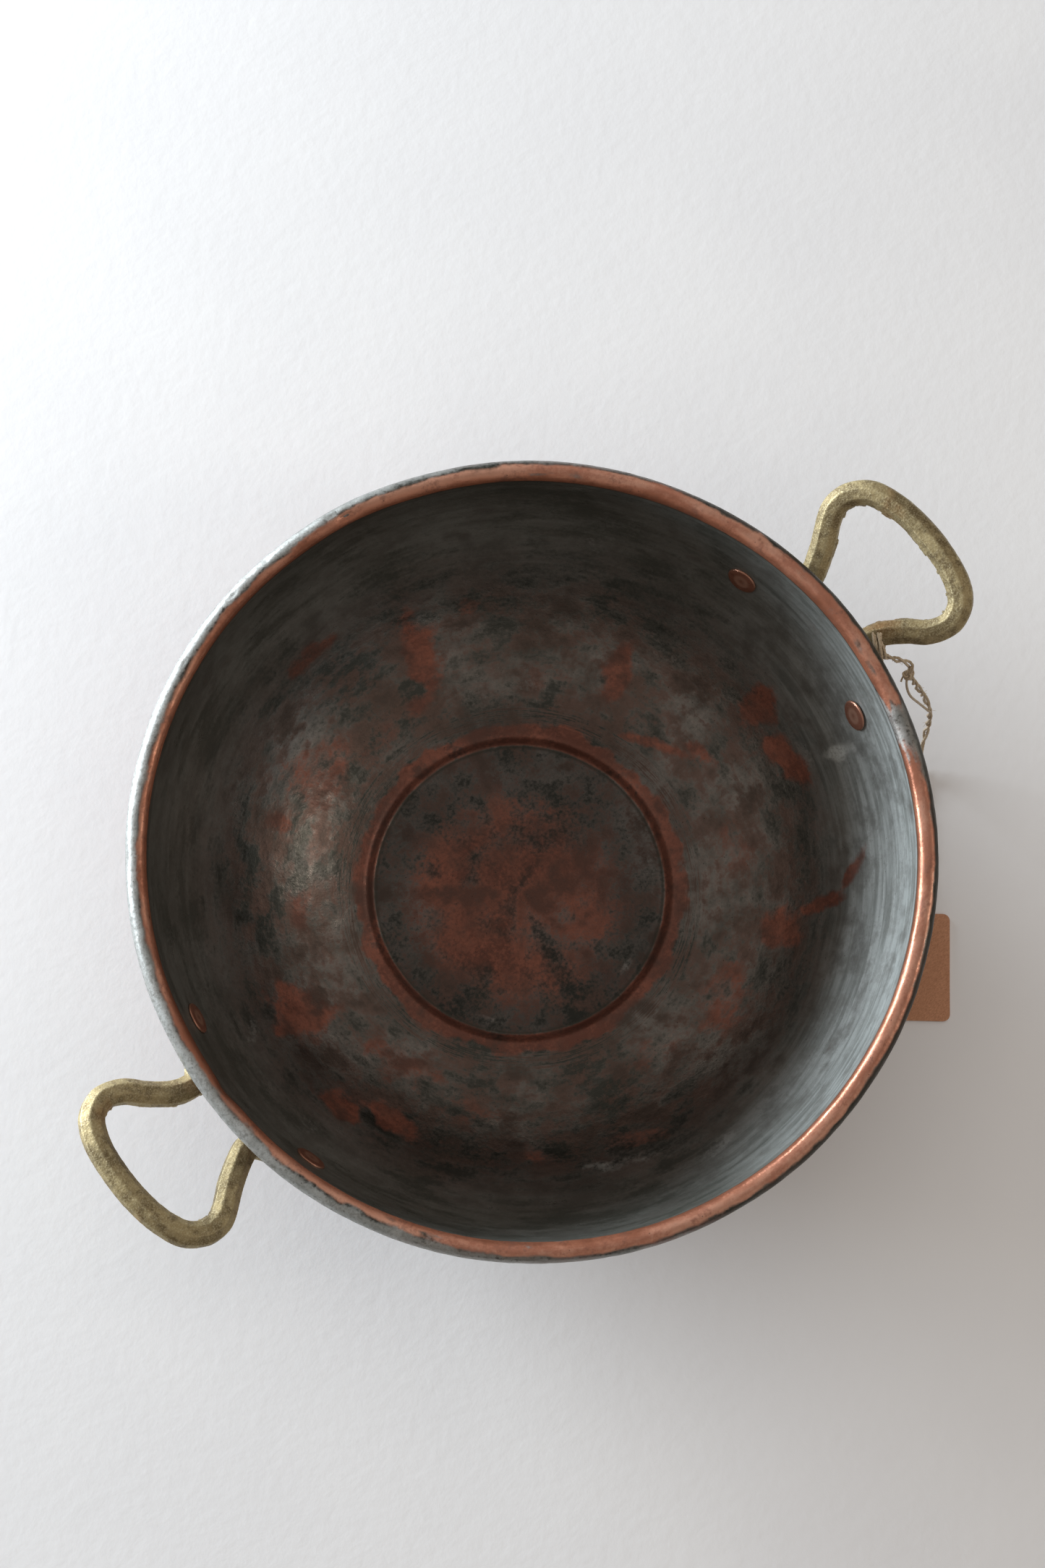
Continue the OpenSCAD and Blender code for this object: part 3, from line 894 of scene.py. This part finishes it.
    # The upper wall, bare copper, scale, and the grime and painted shade are less metallic.
    dull = s.step(plus(share(lime, 0.7), share(dirt_and_shade, 0.6)), 0, 1)
    metallic = less(less(0.92, share(dull, 0.40)),
                    s.maths("MAXIMUM", share(upper, 0.62), share(bare, 0.35)))
    rough = s.step(plus(mid, swing(fine, 0.4)), 0.3, 0.7, 0.28, 0.42)
    rough = plus(rough, swing(streaks, 0.15))
    rough = plus(rough, share(s.maths("MAXIMUM", dull, window_lit_wall), 0.18))
    s.set(Base_Color=colour, Metallic=metallic, Roughness=rough)
    s.relief((streaks, 0.00003), (fine, 0.00004), (grains, 0.00002), (mid, 0.00030))
    return s.material


bowl = make_bowl()
finished(bowl, bowl_material())
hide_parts("bowl_shell")


# ---- the handles ----

# The loop's centre line: distance from the bowl's axis, and place along the grip. The two
# arms aren't quite alike.
LOOP_LINE = [
    (149.5, 27.5), (153.5, 20.5), (158.5, 17.2), (164.2, 19.2), (172.9, 24.6), (180.9, 31.0),
    (186.6, 33.8), (193.2, 33.0), (199.5, 27.6), (203.4, 16.5), (204.9, 4.0), (204.6, -9.0),
    (202.8, -20.0), (199.3, -27.8), (194.6, -31.5), (189.2, -32.4), (182.2, -29.4),
    (176.4, -23.6), (167.8, -17.4), (159.5, -15.6), (154.0, -19.6), (149.5, -27.5),
]
LOOP_NORMAL = np.array([-math.sin(HANDLE_RISE), 0, math.cos(HANDLE_RISE)])
# The bar's eight corners: across the loop's line in its plane, and out of its plane.
BAR_CORNERS = np.array([(5, 2.0), (2.3, 4.5), (-2.0, 4.5), (-5, 1.5), (-5, -1.8), (-2.2, -4.5),
                        (2.2, -4.5), (5, -1.9)])
VOXEL_M = 0.0005


def outer_wall_radius(z):
    """The radius of the wall's outer face at a height."""
    wall = np.array([wall_point(t, SHEET) for t in np.linspace(0, WALL_END, 80)])
    return np.interp(z, wall[::-1, 1], wall[::-1, 0])


def loop_line():
    """The loop's centre line in space, and the way across it in the loop's plane."""
    flat = walked(catmull(LOOP_LINE, 8), 0.8)
    x = (flat[:, 0] - GRIP_X) / math.cos(HANDLE_RISE)
    line = np.array([loop_to_bowl(a, b, 0) for a, b in zip(x, flat[:, 1])])
    heading = unit(np.gradient(line, axis=0))
    return line, unit(np.cross(heading, LOOP_NORMAL))


def bar_tube():
    """The cast bar: eight facets, unevenly wide, growing into the feet."""
    line, across = loop_line()
    count, sides = len(line), len(BAR_CORNERS)
    along = np.linspace(0, 1, count)
    wave = layered(np.stack([along * 14, along * 0, along * 0], axis=1), 81)
    foot = np.maximum(smooth(0.09, 0.0, along), smooth(0.91, 1.0, along))
    rings = []
    for k in range(count):
        corners = BAR_CORNERS * (1 + 0.035 * wave[k])
        wide = corners[:, :1] * (1 + 0.25 * foot[k])
        rings.append(line[k] + wide * across[k] + corners[:, 1:] * LOOP_NORMAL)
    verts = np.concatenate(rings + [line[:1], line[-1:]])
    return verts, grid_faces(count, sides).tolist() + end_caps(count, sides)


def rivet_frame(side):
    """A rivet's place on the wall's inner face, and its directions round, across and out."""
    t = math.asin(RIVET_DEPTH / WALL_B)
    at, normal = wall_point(t, 0), wall_normal(t)
    a = side * RIVET_ANGLE
    radial = np.array([math.cos(a), math.sin(a), 0])
    around = np.array([-math.sin(a), math.cos(a), 0])
    out = normal[0] * radial + normal[1] * OUT
    return at[0] * radial + at[1] * OUT, around, np.cross(out, around), out


def pad_plate(side):
    """A foot: a rounded plate that follows the wall, thinner at its edge."""
    at, around, across, _ = rivet_frame(side)
    rings, spokes = 9, 40
    grid = []
    for layer in (0, 1):
        for i in range(rings + 1):
            f = i / rings
            for j in range(spokes):
                a = 2 * math.pi * j / spokes
                u, v = PAD_R * f * math.cos(a), PAD_R * f * math.sin(a)
                if side * u < 0:
                    u += -side * PAD_TONGUE * min(1, abs(u) / 1.5) * f ** 0.5
                p = at + u * around + v * across
                az = math.atan2(p[1], p[0])
                rise = (PAD_T * (1 - 0.35 * f ** 4)) if layer else -0.4
                r = float(outer_wall_radius(p[2])) + rise
                grid.append([r * math.cos(az), r * math.sin(az), p[2] - 0.28 * rise * layer])
    layer_size = (rings + 1) * spokes
    top = grid_faces(rings + 1, spokes, start=layer_size)
    low = grid_faces(rings + 1, spokes)[:, ::-1]
    edge = [[rings * spokes + j, rings * spokes + (j + 1) % spokes,
             layer_size + rings * spokes + (j + 1) % spokes, layer_size + rings * spokes + j]
            for j in range(spokes)]
    faces = top.tolist() + low.tolist() + edge
    return np.array(grid), faces


def cast_roughness(v, seed):
    """Uneven faces, and a ragged seam along the loop's inner side."""
    line, across = loop_line()
    nearest = np.full(len(v), 1e9)
    best = np.zeros(len(v), int)
    for k in range(0, len(line), 2):
        d = ((v - line[k]) ** 2).sum(axis=1)
        closer = d < nearest
        nearest[closer], best[closer] = d[closer], k
    away = v - line[best]
    aside, above = (away * across[best]).sum(axis=1), away @ LOOP_NORMAL
    inward = np.sign(((line.mean(axis=0) - line[best]) * across[best]).sum(axis=1))
    ragged = smooth(-0.15, 0.55, layered(line[best] / 2.6, seed + 5, 2))
    seam = 0.9 * ragged * bump(above, -0.3, 0.8) * smooth(2.5, 4.2, aside * inward)
    return 0.16 * layered(v / 5.5, seed) + 0.07 * layered(v / 1.5, seed + 3, 2) + seam


def make_handle(name, half_turn):
    """A whole casting: the bar and its two feet made one, then roughened."""
    verts, faces = joined([bar_tube(), pad_plate(1), pad_plate(-1)])
    handle = mesh_object(name, verts, faces)
    fuse = handle.modifiers.new("fuse", "REMESH")
    fuse.mode = "VOXEL"
    fuse.voxel_size = VOXEL_M
    soften = handle.modifiers.new("soften", "SMOOTH")
    soften.factor = 0.5
    soften.iterations = 1
    applied(handle)
    v = vertices(handle)
    # The foot bears on the wall, and nothing passes through it.
    reach = np.hypot(v[:, 0], v[:, 1])
    wall = outer_wall_radius(v[:, 2]) + 0.12
    inside = (reach < wall) & (v[:, 2] < RIM_Z - 3)
    v[inside, :2] *= (wall / reach)[inside, None]
    normals = np.empty(len(v) * 3)
    handle.data.vertices.foreach_get("normal", normals)
    lift = cast_roughness(v, 90 + int(half_turn)) * ~inside
    v = v + normals.reshape(-1, 3) * lift[:, None]
    if half_turn:
        v[:, :2] *= -1
    move_vertices(handle, v)
    handle.data.polygons.foreach_set("use_smooth", [True] * len(handle.data.polygons))
    return handle


def brass_material():
    s = Shader("cast_brass")
    place = s.place()
    sand = s.noise(place, 1500, 4, 0.7)
    pits = s.cells(place, 950)
    mid = s.noise(place, 230, 4, 0.6)
    broad = s.noise(place, 62, 3, 0.6)
    edges = s.node("NewGeometry").outputs["Pointiness"]
    shade = s.maths("ADD", broad, s.maths("MULTIPLY", s.maths("SUBTRACT", mid, 0.5), 0.7))
    colour = s.mix(s.step(shade, 0.34, 0.66), (0.385, 0.305, 0.16), (0.215, 0.165, 0.083))
    colour = s.mix(s.step(mid, 0.46, 0.70, 0, 0.75), colour, (0.15, 0.105, 0.05))
    colour = s.mix(s.step(sand, 0.45, 0.68, 0, 0.55), colour, (0.62, 0.54, 0.35))
    stain = s.noise(place, 34, 3, 0.6)
    colour = s.mix(s.step(stain, 0.58, 0.72, 0, 0.55), colour, (0.34, 0.17, 0.06))
    worn = s.step(edges, 0.505, 0.56, 0, 0.7)
    colour = s.mix(worn, colour, (0.68, 0.59, 0.36))
    deep = s.step(edges, 0.495, 0.455, 0, 0.8)
    colour = s.mix(deep, colour, (0.07, 0.05, 0.026))
    rough = s.step(s.maths("ADD", mid, worn), 0.3, 1.2, 0.60, 0.42)
    s.set(Base_Color=colour, Metallic=0.66, Roughness=rough)
    s.relief((sand, 0.00010), (pits, 0.00008), (mid, 0.00022))
    return s.material


brass = brass_material()
for name, node, half_turn in (("handle_cast_right", "handle_right", False),
                              ("handle_cast_left", "handle_left", True)):
    handle = make_handle(name, half_turn)
    finished(handle, brass)
    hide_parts(node)


# ---- the rivets and the wire ----

def make_rivet(name, side, half_turn, seed):
    """A flat bevelled head inside, a shank, and a hammered dome outside."""
    at, around, across, out = rivet_frame(side)
    grip = SHEET + PAD_T
    edge = [(0, -1.18), (2.5, -1.2), (4.6, -1.19), (5.7, -1.14), (6.2, -1.0), (6.47, -0.75),
            (6.5, -0.5), (6.45, -0.28), (6.2, -0.2), (4.0, -0.2), (SHANK_R, -0.2),
            (SHANK_R, grip + 0.2)]
    edge += [(PEENED_R * math.cos(a), grip + 0.1 + 2.0 * math.sin(a))
             for a in np.radians(np.linspace(0, 88, 10))]
    spokes = 48
    rows = []
    for r, z in edge:
        for j in range(spokes):
            a = 2 * math.pi * j / spokes
            rows.append(at + r * (math.cos(a) * around + math.sin(a) * across) + z * out)
    verts = np.array(rows)
    wave = layered(verts / 2.4, seed, 2)
    verts += (0.09 * wave)[:, None] * out
    faces = grid_faces(len(edge), spokes).tolist()
    faces.append(list(range((len(edge) - 1) * spokes, len(edge) * spokes)))
    if half_turn:
        verts[:, :2] *= -1
    return mesh_object(name, verts, faces)


def copper_material():
    s = Shader("rivet_copper")
    place = s.place()
    fine = s.noise(place, 900, 4, 0.6)
    mid = s.noise(place, 210, 3, 0.6)
    scratches = s.noise(s.scaled(place, (1, 6, 1)), 700, 3, 0.6)
    edges = s.node("NewGeometry").outputs["Pointiness"]
    colour = s.mix(s.step(mid, 0.3, 0.7), (0.60, 0.28, 0.19), (0.42, 0.18, 0.12))
    colour = s.mix(s.step(fine, 0.5, 0.75, 0, 0.5), colour, (0.20, 0.10, 0.075))
    colour = s.mix(s.step(edges, 0.52, 0.6, 0, 0.7), colour, (0.85, 0.52, 0.38))
    s.set(Base_Color=colour, Metallic=0.85, Roughness=s.step(mid, 0.3, 0.7, 0.28, 0.42))
    s.relief((scratches, 0.00003), (mid, 0.00012))
    return s.material


rivet_copper = copper_material()
RIVETS = (("right_back", 1, False), ("right_front", -1, False),
          ("left_back", -1, True), ("left_front", 1, True))
for number, (name, side, half_turn) in enumerate(RIVETS):
    rivet = make_rivet("rivet_set_" + name, side, half_turn, 120 + number)
    finished(rivet, rivet_copper)
    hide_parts("rivet_" + name)


def iron_material():
    s = Shader("iron_wire")
    place = s.place()
    scale = s.noise(place, 500, 4, 0.6)
    rust = s.noise(place, 120, 3, 0.6)
    colour = s.mix(s.step(scale, 0.35, 0.7), (0.16, 0.155, 0.15), (0.29, 0.285, 0.28))
    colour = s.mix(s.step(rust, 0.5, 0.68, 0, 0.8), colour, (0.19, 0.085, 0.04))
    s.set(Base_Color=colour, Metallic=0.8, Roughness=s.step(rust, 0.4, 0.7, 0.45, 0.8))
    s.relief((scale, 0.00008))
    return s.material


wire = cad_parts["rim_wire"]
wire.data.materials.clear()
wire.data.materials.append(iron_material())


# ---- floor and light ----

def make_floor():
    size, below = 3000, -0.05
    corners = [(-size, -size, below), (size, -size, below), (size, size, below),
               (-size, size, below)]
    floor = mesh_object("floor", corners, [(0, 1, 2, 3)])
    s = Shader("plaster")
    place = s.place()
    cloud = s.noise(place, 5, 4, 0.6)
    grain = s.noise(place, 160, 4, 0.6)
    colour = s.mix(s.step(cloud, 0.3, 0.7), (0.80, 0.80, 0.815), (0.84, 0.84, 0.85))
    s.set(Base_Color=colour, Roughness=0.8)
    s.relief((grain, 0.00012))
    floor.data.materials.append(s.material)


def area_light(name, place, aim, size, power, colour, glossy=True):
    data = bpy.data.lights.new(name, "AREA")
    data.shape = "RECTANGLE"
    data.size, data.size_y = size
    data.energy = power
    data.color = colour
    light = bpy.data.objects.new(name, data)
    bpy.context.collection.objects.link(light)
    light.location = Vector(place)
    light.rotation_euler = (Vector(aim) - Vector(place)).to_track_quat("-Z", "Y").to_euler()
    light.visible_glossy = glossy


def seen_from(right, up, out):
    """A place in metres, by the picture's right and up and by height."""
    return (RIGHT * right + UP * up + OUT * out).tolist()


make_floor()
centre = (0, 0, 0.08)
area_light("window", seen_from(-1.35, 0.68, 0.32), centre, (1.5, 0.24), 60,
           (0.84, 0.93, 1.0))
area_light("room", seen_from(-0.2, 0.3, 2.6), centre, (3.2, 3.2), 22,
           (1.0, 0.95, 0.90), glossy=False)
area_light("far_window", seen_from(1.15, -0.02, 0.98), centre, (0.22, 0.28), 1.3,
           (1.0, 0.89, 0.78))


def make_world():
    """A warm room: dim along the floor and straight overhead, lighter walls between."""
    world = bpy.data.worlds.new("world")
    world.use_nodes = True
    nodes, links = world.node_tree.nodes, world.node_tree.links
    spot = nodes.new("ShaderNodeTexCoord")
    parts = nodes.new("ShaderNodeSeparateXYZ")
    links.new(spot.outputs["Generated"], parts.inputs[0])
    ramp = nodes.new("ShaderNodeValToRGB")
    stops = ramp.color_ramp.elements
    for place, (r, g, b) in ((0.0, (0.045, 0.042, 0.038)), (0.55, (0.07, 0.065, 0.058)),
                             (0.68, (0.33, 0.30, 0.268)), (0.90, (0.36, 0.328, 0.295)),
                             (0.985, (0.13, 0.12, 0.11))):
        stop = stops.new(place)
        stop.color = (r, g, b, 1)
    stops.remove(stops[0])
    stops.remove(stops[-1])
    half = nodes.new("ShaderNodeMath")
    half.operation = "MULTIPLY_ADD"
    half.inputs[1].default_value = 0.5
    half.inputs[2].default_value = 0.5
    links.new(parts.outputs[2], half.inputs[0])
    links.new(half.outputs[0], ramp.inputs[0])
    links.new(ramp.outputs[0], nodes["Background"].inputs["Color"])
    return world


world = make_world()
bpy.context.scene.world = world
bpy.context.scene.view_settings.view_transform = "Standard"
